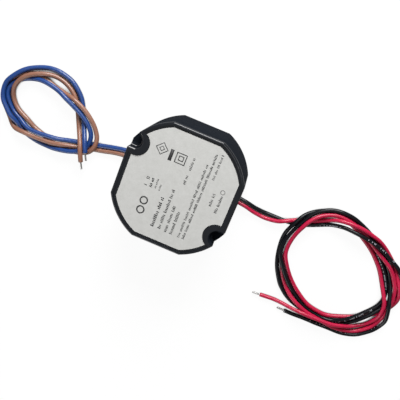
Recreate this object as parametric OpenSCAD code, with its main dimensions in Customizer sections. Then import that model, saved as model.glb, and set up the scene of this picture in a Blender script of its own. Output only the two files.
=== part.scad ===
// Potted switching power supply module for a round wall box, with two mains leads and two output leads.
// Origin at the middle of the housing's base, Z up. The mains leads leave at -X, the output leads at +X.

/* [Housing] */
// Distance between the two flats that the leads leave through
flat_x = 52; // [44:0.5:54]
// Distance between the other two flats
flat_y = 53; // [46:0.5:54]
// Diameter across the rounded corners
round_d = 57.4; // [55.5:0.1:62]
// Height of the housing
height = 28; // [24:0.5:40]
// Thickness of the side walls
wall = 1.6; // [1:0.1:2.2]
// Thickness of the roof under the label
roof = 1.8; // [1:0.1:2.4]
// Radius of the rounded top edge
edge_round = 0.8; // [0.3:0.1:1.1]

/* [Label] */
// Width of the raised rim around the label
rim_width = 1.2; // [0.8:0.1:1.8]
// Depth of the label recess
recess_depth = 0.5; // [0.3:0.05:0.8]
// Thickness of the label
label_thick = 0.2; // [0.1:0.05:0.25]
// Distance from the flats with the leads to the label
label_margin_x = 2.7; // [2:0.1:4]
// Distance from the other flats to the label
label_margin_y = 2.2; // [2:0.1:4]
// Distance from the rounded corners to the label
label_margin_round = 2.3; // [2:0.1:4]
// Gap between the label and the rim round a screw pocket
label_pocket_gap = 0.25; // [0.1:0.05:0.8]

/* [Screw pockets] */
// Distance between the axes of the two screw pockets
pocket_pitch = 54; // [52:0.2:55]
// Direction of the first pocket, from the +X axis
pocket_angle = -29; // [-33:1:-25]
// Width of a pocket, which is round inside and open at its side
pocket_d = 7.6; // [6.6:0.1:8.6]
// Depth of a pocket's floor below the rim
pocket_depth = 7.5; // [5:0.5:12]
// Thickness of a pocket's floor
pocket_floor = 1.8; // [1.2:0.1:3]
// Diameter of the raised rim round a pocket
pocket_rim_d = 10.5; // [10:0.1:12]
// How far the rim's centre lies in from the pocket's axis
pocket_rim_shift = 1.2; // [0.6:0.1:1.6]

/* [Board and potting] */
// Thickness of the circuit board
board_thick = 1.6; // [1:0.2:2.4]
// Height of the board's underside above the base
board_z = 3.6; // [3.5:0.1:5]
// Gap between the board and the walls
board_gap = 0.5; // [0.2:0.1:1]
// Depth of the potting's face inside the base
potting_inset = 0.8; // [0.4:0.1:1]
// Width of a rib that seats the board
rib_width = 1.4; // [1:0.1:2]
// How far a rib stands in from the wall
rib_reach = 1.4; // [1:0.1:1.6]
// Distance from the middle of a flat with leads to its rib
side_rib_at = 8; // [6:0.5:10]
// Distance from the middle of another flat to its first rib
long_rib_at = 8; // [6:0.5:12]
// Distance from the middle of that flat to its second rib
far_rib_at = 9; // [6:0.5:12]

/* [Leads] */
// Diameter of a mains lead
mains_d = 2.2; // [1.8:0.1:2.2]
// Distance between the two mains leads where they leave the housing
mains_pitch = 3; // [2.8:0.1:3.6]
// Diameter of an output lead
output_d = 1.7; // [1.4:0.1:2]
// Distance between the two output leads where they leave the housing
output_pitch = 2; // [2:0.1:3]
// Height of the leads' axes above the base
lead_z = 2.2; // [2.2:0.05:2.3]
// Potting round a lead in its wall slot
lead_slot_gap = 0.2; // [0.1:0.05:0.2]
// Length of a lead inside the housing
tail_length = 6; // [4:0.5:7]
// Diameter of the bare conductor
conductor_d = 0.9; // [0.6:0.1:1.2]
// Length of conductor left bare at a lead's free end
bare_length = 4.3; // [2:0.1:8]

/* [Transformer] */
// Length of the core along the winding, and its width
core_size = 20; // [18:0.5:20]
// Thickness of the core
core_thick = 6; // [5:0.2:7]
// Depth of each core half's back
core_back = 3; // [2.4:0.1:3.6]
// Width of each outer leg
core_leg = 2.9; // [2.2:0.1:3]
// Width of the middle leg
core_middle = 5.8; // [5:0.1:6.4]
// Height of the bobbin's flanges
bobbin_height = 13; // [12:0.5:15]
// Thickness of the bobbin's walls
bobbin_wall = 0.8; // [0.6:0.1:1]
// Clearance between the bobbin and the core
bobbin_gap = 0.15; // [0.1:0.05:0.3]
// How far the winding stays below the edge of the flanges
winding_inset = 0.7; // [0.4:0.1:1.2]

/* [Capacitors] */
// Diameter of the input capacitor
input_cap_d = 12.5; // [10:0.5:12.5]
// Space between the input capacitor and the roof
input_cap_headroom = 1.5; // [0.5:0.1:6]
// Diameter of the output capacitors
output_cap_d = 8; // [6.3:0.1:8]
// Height of the output capacitors
output_cap_h = 14; // [11:0.5:18]
// Length of the suppression capacitor
x_cap_length = 13; // [10:0.5:13]
// Thickness of the suppression capacitor
x_cap_width = 5; // [4:0.5:5]
// Height of the suppression capacitor
x_cap_height = 11; // [9:0.5:12]

/* [Hidden] */
$fn = 64;

eps = 0.01;
over = 1;
floor_z = height - recess_depth;
ceiling_z = floor_z - roof;
board_top = board_z + board_thick;
input_cap_h = ceiling_z - board_top - input_cap_headroom;
seat_z = height - pocket_depth;
pocket_out = [cos(pocket_angle), sin(pocket_angle)];

// Places of the parts on the board
fuse_at = [-10, 16.5];
varistor_at = [-2.5, 18.2];
x_cap_at = [-19.5, -2];
choke_at = [-11.5, 6.5];
bridge_at = [-11, -3];
input_cap_at = [-12, -14];
controller_at = [0.5, -12.5];
snubber_at = [-3.5, -20];
transformer_at = [4, 2];
y_cap_at = [5, -19.5];
opto_at = [9, -14.5];
rectifier_at = [18.5, 7];
output_choke_at = [18.5, -3.5];
output_cap_a_at = [12.5, 17.5];
output_cap_b_at = [3.5, 18.2];

// Sizes of the small parts
fuse_d = 8.4;
fuse_h = 8;
varistor_d = 7;
y_cap_d = 8;
disc_thick = 3.6;
snubber_size = [7, 3, 6.5];
bridge_size = [8.4, 6.4, 3];
controller_size = [9.4, 6.4, 3.2];
opto_size = [4.6, 6.4, 3.2];
rectifier_size = [4.4, 10, 15.5];
choke_d = 9;
choke_h = 11;
output_choke_d = 7;
output_choke_h = 9;
flange = 1.4;
leg_width = 0.6;
leg_rise = 1.2;
part_edge = 0.5;
can_edge = 0.8;
crimp_z = 1.8;
crimp_depth = 0.4;

// Coils that the leads are laid in
mains_coil_size = [52, 37.5];
mains_coil_at = [-69.8, 5.7];
mains_coil_corner = 14;
mains_coil_inner_corner = 7;
mains_coil_band = 10;
mains_coil_h = 3 * mains_d;
output_coil_r = 30.6;
output_coil_at = [82.2, -14.4];
output_coil_band = 8;
output_coil_h = 3 * output_d;
sides = 8;

// Where the leads enter and leave their coils, as directions from the centre of the round wall they pass
blue_entry = -14;
brown_entry = -25;
black_entry = 151.5;
red_entry = 155.5;
red_leave = 234;
black_leave = 242;
blue_leave = -41;
brown_leave = -49;

// Directions of the bare conductors
blue_heading = -65;
brown_heading = -76;
black_heading = 177;
red_heading = 168;
mains_corner_at = mains_coil_at
  + [mains_coil_size.x / 2 - mains_coil_corner, mains_coil_corner - mains_coil_size.y / 2];

function polar(center, r, a) = center + r * [cos(a), sin(a)];
function on_mains_coil(a) = polar(mains_corner_at, mains_coil_corner, a);
function on_output_coil(a) = polar(output_coil_at, output_coil_r, a);
function lay(xy, d) = [xy.x, xy.y, d / 2];
function unit(v) = v / norm(v);

blue_route = [[-flat_x / 2, mains_pitch / 2, lead_z], [-flat_x / 2 - 3, mains_pitch / 2, lead_z],
  [-34, 0.6, 1.5], [-39, -0.6, 1.1], lay(on_mains_coil(blue_entry), mains_d)];
brown_route = [[-flat_x / 2, -mains_pitch / 2, lead_z], [-flat_x / 2 - 3, -mains_pitch / 2, lead_z],
  [-34, -2.3, 1.5], [-39, -3.5, 1.1], lay(on_mains_coil(brown_entry), mains_d)];
black_route = [[flat_x / 2, output_pitch / 2, lead_z], [flat_x / 2 + 3, output_pitch / 2, lead_z],
  [34, -0.3, 1.3], [41, -1.2, 0.85], [48, -0.9, 0.85], lay(on_output_coil(black_entry), output_d)];
red_route = [[flat_x / 2, -output_pitch / 2, lead_z], [flat_x / 2 + 3, -output_pitch / 2, lead_z],
  [34, -2.3, 1.3], [41, -3.3, 0.85], [48, -3, 0.85], lay(on_output_coil(red_entry), output_d)];
red_end_route = [lay(on_output_coil(red_leave), output_d),
  [61, -39.1, 0.85], [57.5, -39.9, 0.85], [53.7, -39.5, 0.85]];

// Box with rounded upright edges
module soft_box(size, r = part_edge) {
  linear_extrude(size.z) {
    square([size.x - 2 * r, size.y], center = true);
    square([size.x, size.y - 2 * r], center = true);
    for (x = [-1, 1], y = [-1, 1]) translate([x * (size.x / 2 - r), y * (size.y / 2 - r)]) circle(r);
  }
}

// Outline of the housing, moved in by its three margins
module outline(in_x = 0, in_y = 0, in_round = 0) {
  intersection() {
    circle(d = round_d - 2 * in_round, $fn = 128);
    square([flat_x - 2 * in_x, flat_y - 2 * in_y], center = true);
  }
}

// Upright profile with two rounded top corners
module arch(w, h, r) {
  translate([-w / 2, 0]) square([w, h - r]);
  translate([r - w / 2, 0]) square([w - 2 * r, h]);
  for (side = [-1, 1]) translate([side * (w / 2 - r), h - r]) circle(r);
}

// Upright cylinder with a rounded top edge
module round_block(d, h, r) {
  rotate_extrude() intersection() {
    arch(d, h, r);
    square([d, h]);
  }
}

// Flat-sided round block with a rounded top edge
module block() {
  intersection() {
    round_block(round_d, height, edge_round, $fn = 128);
    rotate([90, 0, 0]) linear_extrude(round_d + over, center = true) arch(flat_x, height, edge_round);
    rotate([90, 0, 90]) linear_extrude(round_d + over, center = true) arch(flat_y, height, edge_round);
  }
}

// Slot through the wall that a pair of leads shares, open at the base
module lead_slot(side, d, pitch, from_z) {
  r = d / 2 + lead_slot_gap;
  reach = wall + eps;
  translate([side > 0 ? flat_x / 2 - reach : -flat_x / 2, 0, 0]) rotate([90, 0, 90]) linear_extrude(reach) {
    translate([-pitch / 2 - r, from_z]) square([pitch + 2 * r, lead_z - from_z]);
    translate([-pitch / 2, lead_z - eps]) square([pitch, r + eps]);
    for (y = [-1, 1]) translate([y * pitch / 2, lead_z]) circle(r);
  }
}

module lead_slots(from_z) {
  lead_slot(-1, mains_d, mains_pitch, from_z);
  lead_slot(1, output_d, output_pitch, from_z);
}

// Ribs that stand on the board and run up to the roof
module ribs() {
  x = flat_x / 2 - wall;
  y = flat_y / 2 - wall;
  rise = ceiling_z - board_top + eps;
  for (turn = [0, 180]) rotate(turn) {
    translate([x - rib_reach, side_rib_at, board_top]) cube([rib_reach + eps, rib_width, rise]);
    for (along = [-far_rib_at, long_rib_at])
      translate([along, y - rib_reach, board_top]) cube([rib_width, rib_reach + eps, rise]);
  }
}

// Hollow inside the walls, from a height up to the roof
module cavity(from_z) {
  difference() {
    translate([0, 0, from_z]) linear_extrude(ceiling_z - from_z) outline(wall, wall, wall);
    translate([0, 0, seat_z - pocket_floor]) linear_extrude(height) pocket_outlines(wall);
    ribs();
  }
}

// Outlines of the two screw pockets: round inside, straight towards the flats with the leads
module pocket_outlines(grow = 0) {
  r = pocket_d / 2 + grow;
  for (turn = [0, 180]) rotate(turn) translate(pocket_pitch / 2 * pocket_out) {
    circle(r);
    translate([0, -r]) square([round_d / 2, 2 * r]);
  }
}

// Outlines of the raised rims round the two pockets
module pocket_rims(grow = 0) {
  for (turn = [0, 180]) rotate(turn) translate((pocket_pitch / 2 - pocket_rim_shift) * pocket_out)
    circle(pocket_rim_d / 2 + grow);
}

// The moulded cap, closed by its roof and open at the base
module housing() {
  color([0.09, 0.1, 0.12]) difference() {
    block();
    cavity(-over);
    lead_slots(-over);
    translate([0, 0, seat_z]) linear_extrude(height) pocket_outlines();
    translate([0, 0, floor_z]) linear_extrude(recess_depth + over) difference() {
      outline(rim_width, rim_width, rim_width);
      pocket_rims();
    }
  }
}

module rating_label() {
  color([0.84, 0.84, 0.82]) translate([0, 0, floor_z]) linear_extrude(label_thick) difference() {
    outline(label_margin_x, label_margin_y, label_margin_round);
    pocket_rims(label_pocket_gap);
  }
}

module circuit_board() {
  inset = wall + board_gap;
  color([0.2, 0.42, 0.25]) difference() {
    translate([0, 0, board_z]) linear_extrude(board_thick) outline(inset, inset, inset);
    tail_cores();
  }
}

// Upright conductors that the leads' tails end in
module tail_cores() {
  x = flat_x / 2 - tail_length;
  for (y = [-1, 1], at = [[-x, y * mains_pitch / 2, lead_z], [x, y * output_pitch / 2, lead_z]])
    translate(at) cylinder(d = conductor_d, h = board_top - lead_z);
}

// The part of a pair of leads that is potted: insulation, a bent conductor and its end in the board
module tails(side, d, pitch) {
  for (y = [-1, 1]) translate([side * flat_x / 2, y * pitch / 2, lead_z]) {
    rotate([0, -side * 90, 0]) cylinder(d = d, h = tail_length - conductor_d);
    rotate([0, -side * 90, 0]) cylinder(d = conductor_d, h = tail_length);
    translate([-side * tail_length, 0, 0]) {
      sphere(d = conductor_d, $fn = 32);
      cylinder(d = conductor_d, h = board_top - lead_z);
    }
  }
}

module mains_lead_tails() {
  color([0.2, 0.3, 0.6]) tails(-1, mains_d, mains_pitch);
}

module output_lead_tails() {
  color([0.7, 0.15, 0.25]) tails(1, output_d, output_pitch);
}

// Stands a part on the board
module on_board(at) {
  translate([at.x, at.y, board_top]) children();
}

// Capacitor can with a crimped groove and a rounded top
module can(d, h) {
  difference() {
    round_block(d, h, can_edge);
    rotate_extrude() translate([d / 2, crimp_z]) circle(crimp_depth, $fn = 24);
  }
}

// Dipped disc standing on its edge, its axis along X
module disc(d, thick) {
  r = d / 2;
  translate([0, 0, r]) rotate([0, 90, 0]) rotate_extrude() {
    translate([0, -thick / 2]) square([r - thick / 3, thick]);
    translate([r - thick / 3, 0]) intersection() {
      circle(thick / 2);
      translate([-eps, -thick / 2]) square([thick / 3 + eps, thick]);
    }
  }
}

// Moulded package on bent legs, the legs along its two long sides
module package(size, legs, span) {
  body = size - [0, 1.6, 0];
  translate([0, 0, 0.4]) soft_box([body.x, body.y, body.z - 0.4], 0.3);
  for (side = [-1, 1], i = [0:legs - 1])
    translate([(i - (legs - 1) / 2) * span - leg_width / 2, side > 0 ? body.y / 2 - eps : -size.y / 2, 0])
      cube([leg_width, (size.y - body.y) / 2 + eps, leg_rise]);
}

module input_fuse() {
  color([0.5, 0.33, 0.2]) on_board(fuse_at) round_block(fuse_d, fuse_h, can_edge);
}

module varistor() {
  color([0.15, 0.3, 0.6]) on_board(varistor_at) disc(varistor_d, disc_thick);
}

module suppression_capacitor() {
  color([0.8, 0.62, 0.2]) on_board(x_cap_at) soft_box([x_cap_width, x_cap_length, x_cap_height]);
}

// Drum core: two flanges on a thin middle
module drum(d, h) {
  cylinder(d = d, h = flange);
  cylinder(d = d / 2, h = h);
  translate([0, 0, h - flange]) cylinder(d = d, h = flange);
}

module drum_winding(d, h) {
  translate([0, 0, flange]) rotate_extrude() translate([d / 4, 0]) square([d / 4 - 0.4, h - 2 * flange]);
}

module line_choke_core() {
  color([0.25, 0.25, 0.27]) on_board(choke_at) drum(choke_d, choke_h);
}

module line_choke_winding() {
  color([0.72, 0.4, 0.2]) on_board(choke_at) drum_winding(choke_d, choke_h);
}

module bridge_rectifier() {
  color([0.13, 0.13, 0.14]) on_board(bridge_at) package(bridge_size, 2, 5);
}

module input_capacitor() {
  color([0.12, 0.14, 0.3]) on_board(input_cap_at) can(input_cap_d, input_cap_h);
}

module switching_controller() {
  color([0.13, 0.13, 0.14]) on_board(controller_at) package(controller_size, 4, 2.3);
}

module snubber_capacitor() {
  color([0.75, 0.3, 0.15]) on_board(snubber_at) soft_box(snubber_size);
}

// One half of the core, its back on the -X side and its legs reaching the middle
module core_half() {
  half = core_size / 2;
  translate([0, 0, (bobbin_height - core_thick) / 2]) linear_extrude(core_thick) {
    translate([-half, -half]) square([core_back, core_size]);
    for (y = [-half, half - core_leg]) translate([-half, y]) square([half, core_leg]);
    translate([-half, -core_middle / 2]) square([half, core_middle]);
  }
}

module transformer_core_left() {
  color([0.22, 0.22, 0.24]) on_board(transformer_at) core_half();
}

module transformer_core_right() {
  color([0.22, 0.22, 0.24]) on_board(transformer_at) rotate(180) core_half();
}

bobbin_length = core_size - 2 * core_back - 2 * bobbin_gap;
bobbin_width = core_size - 2 * core_leg - 2 * bobbin_gap;
bore_y = core_middle + 2 * bobbin_gap;
bore_z = core_thick + 2 * bobbin_gap;

// Square tube along X, centred on the winding's axis
module square_tube(length, outer, inner) {
  translate([0, 0, bobbin_height / 2]) rotate([90, 0, 90])
    linear_extrude(length, center = true) difference() {
      square(outer, center = true);
      square(inner, center = true);
    }
}

module transformer_bobbin() {
  color([0.85, 0.82, 0.7]) on_board(transformer_at) {
    square_tube(bobbin_length, [bore_y + 2 * bobbin_wall, bore_z + 2 * bobbin_wall], [bore_y, bore_z]);
    for (side = [-1, 1]) translate([side * (bobbin_length - bobbin_wall) / 2, 0, 0])
      square_tube(bobbin_wall, [bobbin_width, bobbin_height], [bore_y, bore_z]);
  }
}

module transformer_winding() {
  color([0.85, 0.7, 0.2]) on_board(transformer_at) square_tube(bobbin_length - 2 * bobbin_wall,
    [bobbin_width - 2 * winding_inset, bobbin_height - 2 * winding_inset],
    [bore_y + 2 * bobbin_wall, bore_z + 2 * bobbin_wall]);
}

module y_capacitor() {
  color([0.2, 0.4, 0.65]) on_board(y_cap_at) rotate(90) disc(y_cap_d, disc_thick);
}

module optocoupler() {
  color([0.9, 0.9, 0.88]) on_board(opto_at) package(opto_size, 2, 2.5);
}

module output_rectifier() {
  color([0.13, 0.13, 0.14]) on_board(rectifier_at) soft_box(rectifier_size, 0.4);
}

module output_choke_core() {
  color([0.25, 0.25, 0.27]) on_board(output_choke_at) drum(output_choke_d, output_choke_h);
}

module output_choke_winding() {
  color([0.72, 0.4, 0.2]) on_board(output_choke_at) drum_winding(output_choke_d, output_choke_h);
}

module output_capacitor_a() {
  color([0.12, 0.3, 0.22]) on_board(output_cap_a_at) can(output_cap_d, output_cap_h);
}

module output_capacitor_b() {
  color([0.12, 0.3, 0.22]) on_board(output_cap_b_at) can(output_cap_d, output_cap_h);
}

// Space that the parts take out of the potting
module part_spaces() {
  on_board(fuse_at) cylinder(d = fuse_d, h = fuse_h);
  on_board(varistor_at) disc(varistor_d, disc_thick);
  on_board(x_cap_at) soft_box([x_cap_width, x_cap_length, x_cap_height]);
  on_board(choke_at) cylinder(d = choke_d, h = choke_h);
  on_board(bridge_at) soft_box(bridge_size, 0.3);
  on_board(input_cap_at) cylinder(d = input_cap_d, h = input_cap_h);
  on_board(controller_at) soft_box(controller_size, 0.3);
  on_board(snubber_at) soft_box(snubber_size);
  on_board(transformer_at) {
    translate([-core_size / 2, -core_size / 2, 0]) cube([core_size, core_size, (bobbin_height + core_thick) / 2]);
    translate([-bobbin_length / 2, -bobbin_width / 2, 0]) cube([bobbin_length, bobbin_width, bobbin_height]);
  }
  on_board(y_cap_at) rotate(90) disc(y_cap_d, disc_thick);
  on_board(opto_at) soft_box(opto_size, 0.3);
  on_board(rectifier_at) soft_box(rectifier_size, 0.4);
  on_board(output_choke_at) cylinder(d = output_choke_d, h = output_choke_h);
  on_board(output_cap_a_at) cylinder(d = output_cap_d, h = output_cap_h);
  on_board(output_cap_b_at) cylinder(d = output_cap_d, h = output_cap_h);
}

// Resin that fills the cap round the board and its parts
module potting_compound() {
  color([0.16, 0.16, 0.17]) difference() {
    union() {
      cavity(potting_inset);
      lead_slots(potting_inset);
    }
    circuit_board();
    part_spaces();
    tails(-1, mains_d, mains_pitch);
    tails(1, output_d, output_pitch);
  }
}

// Smooth curve through a route's points, with a ring at each point and between each two
function between(a, b, c, d) = (9 * b + 9 * c - a - d) / 16;
function smooth(p) = let (n = len(p) - 1) [for (i = [0:n]) each
  i == n ? [p[n]] : [p[i], between(p[max(i - 1, 0)], p[i], p[i + 1], p[min(i + 2, n)])]];
function heading(p, i) = unit(p[min(i + 1, len(p) - 1)] - p[max(i - 1, 0)]);
function onto(q, at, along, normal) = q - along * ((q - at) * normal) / (along * normal);

// Tube along a route, its two ends cut on the planes of the faces that it meets
module lead(route, d, first_normal, last_normal) {
  p = smooth(route);
  n = len(p);
  rings = [for (i = [0:n - 1]) let (
      t = heading(p, i), across = unit(cross(t, [0, 0, 1])), up = cross(across, t),
      normal = i == 0 ? first_normal : i == n - 1 ? last_normal : t)
    for (k = [0:sides - 1]) let (a = (k + 0.5) * 360 / sides)
      onto(p[i] + d / 2 * (cos(a) * across + sin(a) * up), p[i], t, normal)];
  walls = [for (i = [0:n - 2], k = [0:sides - 1]) let (j = (k + 1) % sides)
    [i * sides + k, i * sides + j, (i + 1) * sides + j, (i + 1) * sides + k]];
  polyhedron(rings, concat(walls, [[for (k = [sides - 1:-1:0]) k]], [[for (k = [0:sides - 1]) (n - 1) * sides + k]]));
}

function outward(a) = [cos(a), sin(a), 0];

module blue_lead() {
  color([0.16, 0.3, 0.66]) lead(blue_route, mains_d, [1, 0, 0], outward(blue_entry));
}

module brown_lead() {
  color([0.62, 0.36, 0.26]) lead(brown_route, mains_d, [1, 0, 0], outward(brown_entry));
}

module black_lead() {
  color([0.08, 0.08, 0.09]) lead(black_route, output_d, [1, 0, 0], outward(black_entry));
}

module red_lead() {
  color([0.8, 0.15, 0.28]) lead(red_route, output_d, [1, 0, 0], outward(red_entry));
}

module red_lead_end() {
  color([0.8, 0.15, 0.28]) lead(red_end_route, output_d, outward(red_leave), outward(red_heading));
}

// Outer shape of the two turns that both mains leads are laid in
module mains_coil() {
  inner = mains_coil_size - 2 * mains_coil_band * [1, 1];
  color([0.4, 0.33, 0.45]) translate([mains_coil_at.x, mains_coil_at.y, 0]) difference() {
    soft_box([mains_coil_size.x, mains_coil_size.y, mains_coil_h], mains_coil_corner);
    translate([0, 0, -over]) soft_box([inner.x, inner.y, mains_coil_h + 2 * over], mains_coil_inner_corner);
  }
}

// Outer shape of the turns that both output leads are laid in
module output_coil() {
  color([0.45, 0.1, 0.16]) translate([output_coil_at.x, output_coil_at.y, 0]) rotate_extrude($fn = 96)
    translate([output_coil_r - output_coil_band, 0]) square([output_coil_band, output_coil_h]);
}

// Bare conductor that starts at a point, or a little behind it, and runs level along a direction
module bare_end(at, direction, z, back = 0) {
  color([0.7, 0.7, 0.7]) translate([at.x, at.y, z]) rotate([0, 90, direction])
    translate([0, 0, -back]) cylinder(d = conductor_d, h = bare_length + back, $fn = 24);
}

module blue_bare_end() {
  difference() {
    bare_end(on_mains_coil(blue_leave), blue_heading, mains_coil_h - mains_d / 2, 2);
    mains_coil();
  }
}

module brown_bare_end() {
  difference() {
    bare_end(on_mains_coil(brown_leave), brown_heading, mains_coil_h - mains_d / 2, 2);
    mains_coil();
  }
}

module black_bare_end() {
  difference() {
    bare_end(on_output_coil(black_leave), black_heading, output_d / 2, 2);
    output_coil();
  }
}

module red_bare_end() {
  end = red_end_route[len(red_end_route) - 1];
  bare_end(end, red_heading, end.z);
}

housing();
rating_label();
potting_compound();
circuit_board();
mains_lead_tails();
output_lead_tails();
input_fuse();
varistor();
suppression_capacitor();
line_choke_core();
line_choke_winding();
bridge_rectifier();
input_capacitor();
switching_controller();
snubber_capacitor();
transformer_core_left();
transformer_core_right();
transformer_bobbin();
transformer_winding();
y_capacitor();
optocoupler();
output_rectifier();
output_choke_core();
output_choke_winding();
output_capacitor_a();
output_capacitor_b();
blue_lead();
brown_lead();
mains_coil();
blue_bare_end();
brown_bare_end();
black_lead();
red_lead();
output_coil();
red_lead_end();
black_bare_end();
red_bare_end();
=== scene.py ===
"""Dresses a potted power supply module: four leads, moulded housing, printed label, board parts, stage.

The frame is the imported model's, in metres: base on z = 0, mains leads towards -X, output leads towards +X.
Names that end in _mm or _MM hold millimetres.
"""
import bmesh
import bpy
import numpy as np
from mathutils import Matrix, Vector


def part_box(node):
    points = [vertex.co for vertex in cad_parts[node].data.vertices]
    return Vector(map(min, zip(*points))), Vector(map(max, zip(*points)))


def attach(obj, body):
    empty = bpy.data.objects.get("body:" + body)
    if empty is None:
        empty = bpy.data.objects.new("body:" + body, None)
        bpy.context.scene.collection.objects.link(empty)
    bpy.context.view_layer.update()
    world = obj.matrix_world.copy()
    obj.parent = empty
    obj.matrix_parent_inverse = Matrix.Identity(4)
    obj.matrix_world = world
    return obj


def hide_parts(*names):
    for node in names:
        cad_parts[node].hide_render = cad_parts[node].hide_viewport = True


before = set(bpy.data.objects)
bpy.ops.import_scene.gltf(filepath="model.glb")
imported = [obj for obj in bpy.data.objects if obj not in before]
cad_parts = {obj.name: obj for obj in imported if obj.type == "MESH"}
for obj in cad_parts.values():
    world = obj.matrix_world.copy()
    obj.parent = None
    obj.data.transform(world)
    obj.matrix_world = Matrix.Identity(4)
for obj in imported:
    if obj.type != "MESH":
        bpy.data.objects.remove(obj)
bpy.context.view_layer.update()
scene = bpy.context.scene

MM = 0.001
ROOT = "root"
UP = np.array((0.0, 0.0, 1.0))


def add_object(name, data):
    """Object of some data, in the scene."""
    made = bpy.data.objects.new(name, data)
    scene.collection.objects.link(made)
    return made


# Camera

PHOTO_PX = 400
FOCAL_PX = 580
SENSOR_MM = 36
CAMERA_AT_MM = np.array((17.62, 66.92, 261.93))
PICTURE_RIGHT = np.array((0.92150, 0.36547, -0.13138))
PICTURE_DOWN = np.array((0.38734, -0.88950, 0.24239))


def make_camera():
    """Camera whose picture runs along PICTURE_RIGHT and PICTURE_DOWN; it looks along their cross product."""
    data = bpy.data.cameras.new("camera")
    data.sensor_width = SENSOR_MM
    data.lens = SENSOR_MM * FOCAL_PX / PHOTO_PX
    data.clip_start = 0.01
    data.clip_end = 20
    camera = add_object("camera", data)
    backwards = -np.cross(PICTURE_RIGHT, PICTURE_DOWN)
    columns = np.column_stack((PICTURE_RIGHT, -PICTURE_DOWN, backwards, CAMERA_AT_MM * MM))
    camera.matrix_world = Matrix(np.vstack((columns, (0, 0, 0, 1))).tolist())
    scene.camera = camera


make_camera()


# Shader nodes

def put(tree, kind, inputs=None, **settings):
    """Adds a node, sets its properties, and links or sets its inputs by name or number."""
    made = tree.nodes.new(kind)
    for key, value in settings.items():
        setattr(made, key, value)
    for key, value in (inputs or {}).items():
        if isinstance(value, bpy.types.NodeSocket):
            tree.links.new(value, made.inputs[key])
        else:
            made.inputs[key].default_value = value
    return made


def calc(tree, operation, a, b=0.5, c=0.5):
    """Value of one Math node."""
    return put(tree, "ShaderNodeMath", {0: a, 1: b, 2: c}, operation=operation).outputs[0]


def apart(tree, vector):
    """X, Y and Z outputs of a vector."""
    return put(tree, "ShaderNodeSeparateXYZ", {"Vector": vector}).outputs


def noise(tree, vector, scale, detail=2.0, rough=0.5):
    """Value of a noise texture, in features per metre of its vector."""
    inputs = {"Vector": vector, "Scale": scale, "Detail": detail, "Roughness": rough}
    return put(tree, "ShaderNodeTexNoise", inputs).outputs["Fac"]


def ramp(tree, value, low, high, to_low=0.0, to_high=1.0):
    """Value carried from the range low to high onto the range to_low to to_high, and held there."""
    inputs = {"Value": value, "From Min": low, "From Max": high, "To Min": to_low, "To Max": to_high}
    return put(tree, "ShaderNodeMapRange", inputs).outputs["Result"]


def new_group(name, takes, gives):
    """Empty node group with the named float or vector inputs and its float outputs."""
    tree = bpy.data.node_groups.new(name, "ShaderNodeTree")
    for socket, (kind, value) in takes.items():
        made = tree.interface.new_socket(socket, in_out="INPUT", socket_type=kind)
        if value is not None:
            made.default_value = value
    for socket in gives:
        tree.interface.new_socket(socket, in_out="OUTPUT", socket_type="NodeSocketFloat")
    return tree, tree.nodes.new("NodeGroupInput"), tree.nodes.new("NodeGroupOutput")


FLOAT = "NodeSocketFloat"
VECTOR = "NodeSocketVector"
SCUFF_STRETCH = (0.06, 1.0, 0.4)
SCUFF_PEAK = 0.60, 0.72


def per_metre(tree, size_mm):
    """Features per metre of a texture whose features are size_mm wide."""
    return calc(tree, "DIVIDE", 1 / MM, size_mm)


def make_mottle():
    """Cloudy mask from 0 to 1: a coarse noise with a third of a fine one, spread about the middle."""
    tree, taken, given = new_group(
        "mottle", {"Vector": (VECTOR, None), "Size": (FLOAT, 1.0), "Contrast": (FLOAT, 1.0)}, ["Mask"])
    scale = per_metre(tree, taken.outputs["Size"])
    coarse = noise(tree, taken.outputs["Vector"], scale, 3.0)
    fine = noise(tree, taken.outputs["Vector"], calc(tree, "MULTIPLY", scale, 5.3), 2.0)
    both = calc(tree, "MULTIPLY_ADD", fine, 0.33, calc(tree, "MULTIPLY", coarse, 0.67))
    spread = calc(tree, "MULTIPLY", calc(tree, "SUBTRACT", both, 0.5), taken.outputs["Contrast"])
    clipped = put(tree, "ShaderNodeClamp", {"Value": calc(tree, "ADD", spread, 0.5)}).outputs[0]
    tree.links.new(clipped, given.inputs["Mask"])
    return tree


def make_grain():
    """Height of a spark-eroded mould face, in metres: rounded pits of one size and half of it."""
    tree, taken, given = new_group(
        "grain", {"Vector": (VECTOR, None), "Size": (FLOAT, 1.0), "Depth": (FLOAT, 0.01)}, ["Height"])
    scale = per_metre(tree, taken.outputs["Size"])
    large = noise(tree, taken.outputs["Vector"], scale, 1.0)
    small = noise(tree, taken.outputs["Vector"], calc(tree, "MULTIPLY", scale, 2.1), 1.0)
    both = calc(tree, "MULTIPLY_ADD", small, 0.5, large)
    depth = calc(tree, "MULTIPLY", taken.outputs["Depth"], MM)
    tree.links.new(calc(tree, "MULTIPLY", both, depth), given.inputs["Height"])
    return tree


def make_scuffs():
    """Mask of fine rubbed lines: a noise stretched along one direction, kept where it peaks."""
    tree, taken, given = new_group(
        "scuffs", {"Vector": (VECTOR, None), "Size": (FLOAT, 1.0), "Angle": (FLOAT, 0.0)}, ["Mask"])
    inputs = {"Vector": taken.outputs["Vector"], "Angle": taken.outputs["Angle"]}
    turned = put(tree, "ShaderNodeVectorRotate", inputs).outputs[0]
    stretched = put(tree, "ShaderNodeVectorMath", {0: turned, 1: SCUFF_STRETCH}, operation="MULTIPLY")
    scale = per_metre(tree, taken.outputs["Size"])
    lines = noise(tree, stretched.outputs[0], scale, 4.0, 0.6)
    tree.links.new(ramp(tree, lines, *SCUFF_PEAK), given.inputs["Mask"])
    return tree


MOTTLE = make_mottle()
GRAIN = make_grain()
SCUFFS = make_scuffs()


# Numbers of the colour sockets of a Mix node
MIX_FROM, MIX_TO, MIXED = 6, 7, 2


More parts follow.
